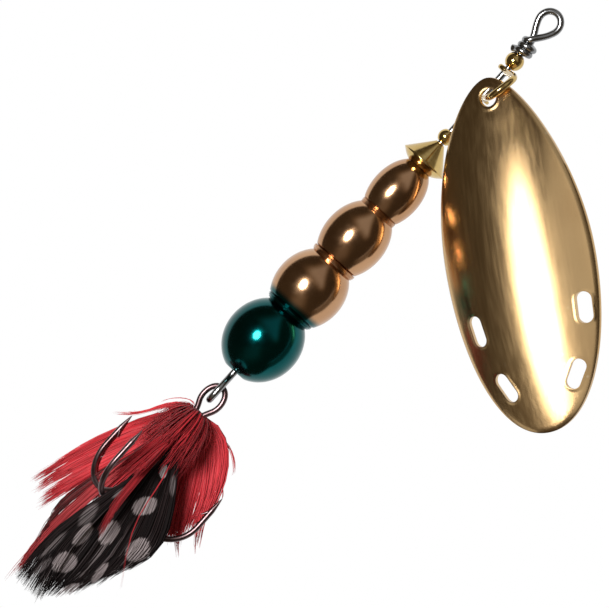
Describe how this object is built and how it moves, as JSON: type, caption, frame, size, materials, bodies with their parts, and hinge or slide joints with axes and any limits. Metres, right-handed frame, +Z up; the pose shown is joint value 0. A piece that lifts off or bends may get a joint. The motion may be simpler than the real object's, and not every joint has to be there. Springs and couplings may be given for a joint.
{
  "type": "inline spinner lure",
  "caption": "Inline spinner: wire shaft with a line-tie eye, clevis-hung domed blade, beads, bearing cone, barrel-bead weight and a feathered treble hook",
  "frame": {"origin": "centre of the line-tie eye", "axes": "+Z up the shaft towards the line, -Y the side that the blade's domed face looks to, +X the side that the blade stands out to"},
  "size_m": [0.0384, 0.0198, 0.0844],
  "materials": {
    "steel_wire": "bright drawn stainless wire",
    "brass": "polished brass",
    "blade_brass": "mirror-polished antique brass",
    "copper": "mirror-polished copper-gold plating",
    "teal_lacquer": "glossy translucent teal lacquer",
    "black_nickel": "bright black-nickel wire",
    "thread": "waxed red thread",
    "feather_red": "soft dyed hackle",
    "feather_spotted": "soft dark barred feather with pale grey spots"
  },
  "bodies": {
    "shaft": {"wire_shaft": "steel_wire"},
    "upper_bead": {"top_bead": "brass"},
    "clevis": {"clevis": "brass"},
    "blade": {"blade": "blade_brass"},
    "lower_bead": {"bearing_bead": "brass"},
    "cone": {"cone": "brass"},
    "weight": {"front_ball": "copper", "second_ball": "copper", "third_ball": "copper", "tail_ball": "teal_lacquer"},
    "treble": {"double_hook": "black_nickel", "third_hook": "black_nickel", "whipping_thread": "thread", "hackle_collar": "feather_red", "red_feather_wisp": "feather_red", "red_feather_upper_left": "feather_red", "red_feather_lower_left": "feather_red", "red_feather_edge": "feather_red", "red_feather_upper_right": "feather_red", "red_feather_right": "feather_red", "red_feather_back": "feather_red", "spotted_feather_front": "feather_spotted", "spotted_feather_right": "feather_spotted", "spotted_feather_back": "feather_spotted"}
  },
  "joints": [
    {"name": "top_bead_spin", "type": "hinge", "parent": "shaft", "child": "upper_bead", "pos_m": [0, 0, -0.0054], "axis": [0, 0, 1], "continuous": true},
    {"name": "clevis_spin", "type": "hinge", "parent": "shaft", "child": "clevis", "pos_m": [0, 0, -0.0087], "axis": [0, 0, 1], "continuous": true},
    {"name": "blade_swing", "type": "hinge", "parent": "clevis", "child": "blade", "pos_m": [0.00053, -0.00575, -0.01032], "axis": [-0.3536, 0.866, 0.3536], "range_deg": [-10, 56]},
    {"name": "bearing_bead_spin", "type": "hinge", "parent": "shaft", "child": "lower_bead", "pos_m": [0, 0, -0.01623], "axis": [0, 0, 1], "continuous": true},
    {"name": "cone_spin", "type": "hinge", "parent": "shaft", "child": "cone", "pos_m": [0, 0, -0.0188], "axis": [0, 0, 1], "continuous": true},
    {"name": "weight_spin", "type": "hinge", "parent": "shaft", "child": "weight", "pos_m": [0, 0, -0.035], "axis": [0, 0, 1], "continuous": true},
    {"name": "treble_swing", "type": "hinge", "parent": "shaft", "child": "treble", "pos_m": [0, 0, -0.0537], "axis": [0, 1, 0], "range_deg": [-50, 50]}
  ]
}
